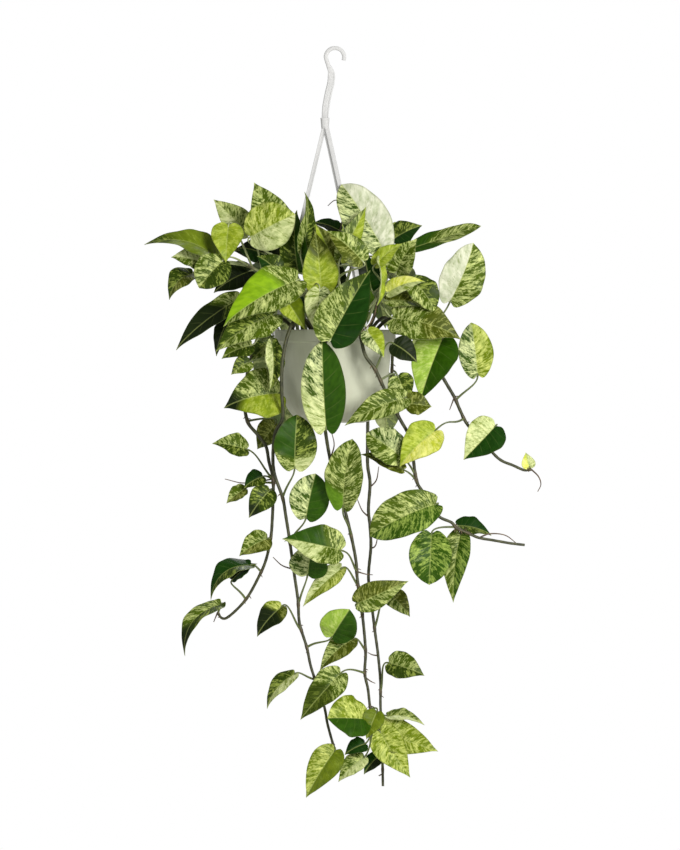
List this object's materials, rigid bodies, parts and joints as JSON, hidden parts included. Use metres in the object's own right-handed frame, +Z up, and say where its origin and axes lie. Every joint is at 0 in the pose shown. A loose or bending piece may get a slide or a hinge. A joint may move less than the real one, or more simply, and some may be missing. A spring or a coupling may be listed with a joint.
{
  "type": "hanging potted pothos plant",
  "caption": "Trailing variegated pothos in a white plastic hanging pot, with leafy vines that spill over the rim and a flat-armed plastic hanger with a top hook.",
  "frame": {"origin": "inner top of the hanger's hook, where it bears on a ceiling hook; the pot's axis hangs straight below it", "axes": "+Z up along the pot's axis, -Y towards the front of the picture, +X to the right"},
  "size_m": [0.4957, 0.2658, 0.9358],
  "materials": {
    "pot_plastic": "satin",
    "hanger_plastic": "satin",
    "soil": "matte",
    "foliage": "satin"
  },
  "bodies": {
    "root": {"pot": "pot_plastic", "hanger_hook": "hanger_plastic", "hanger": "hanger_plastic", "soil": "soil", "vine_left": "foliage", "vine_left_front": "foliage", "vine_front": "foliage", "vine_back": "foliage", "vine_right_front": "foliage", "vine_right": "foliage", "vine_back_left": "foliage", "vine_back_right": "foliage", "sprig_left": "foliage", "sprig_left_front": "foliage", "sprig_front_left": "foliage", "sprig_front": "foliage", "sprig_right_front": "foliage", "sprig_right": "foliage", "sprig_middle_left": "foliage", "sprig_middle": "foliage", "sprig_back_left": "foliage", "sprig_back": "foliage", "sprig_back_right": "foliage"}
  },
  "joints": []
}
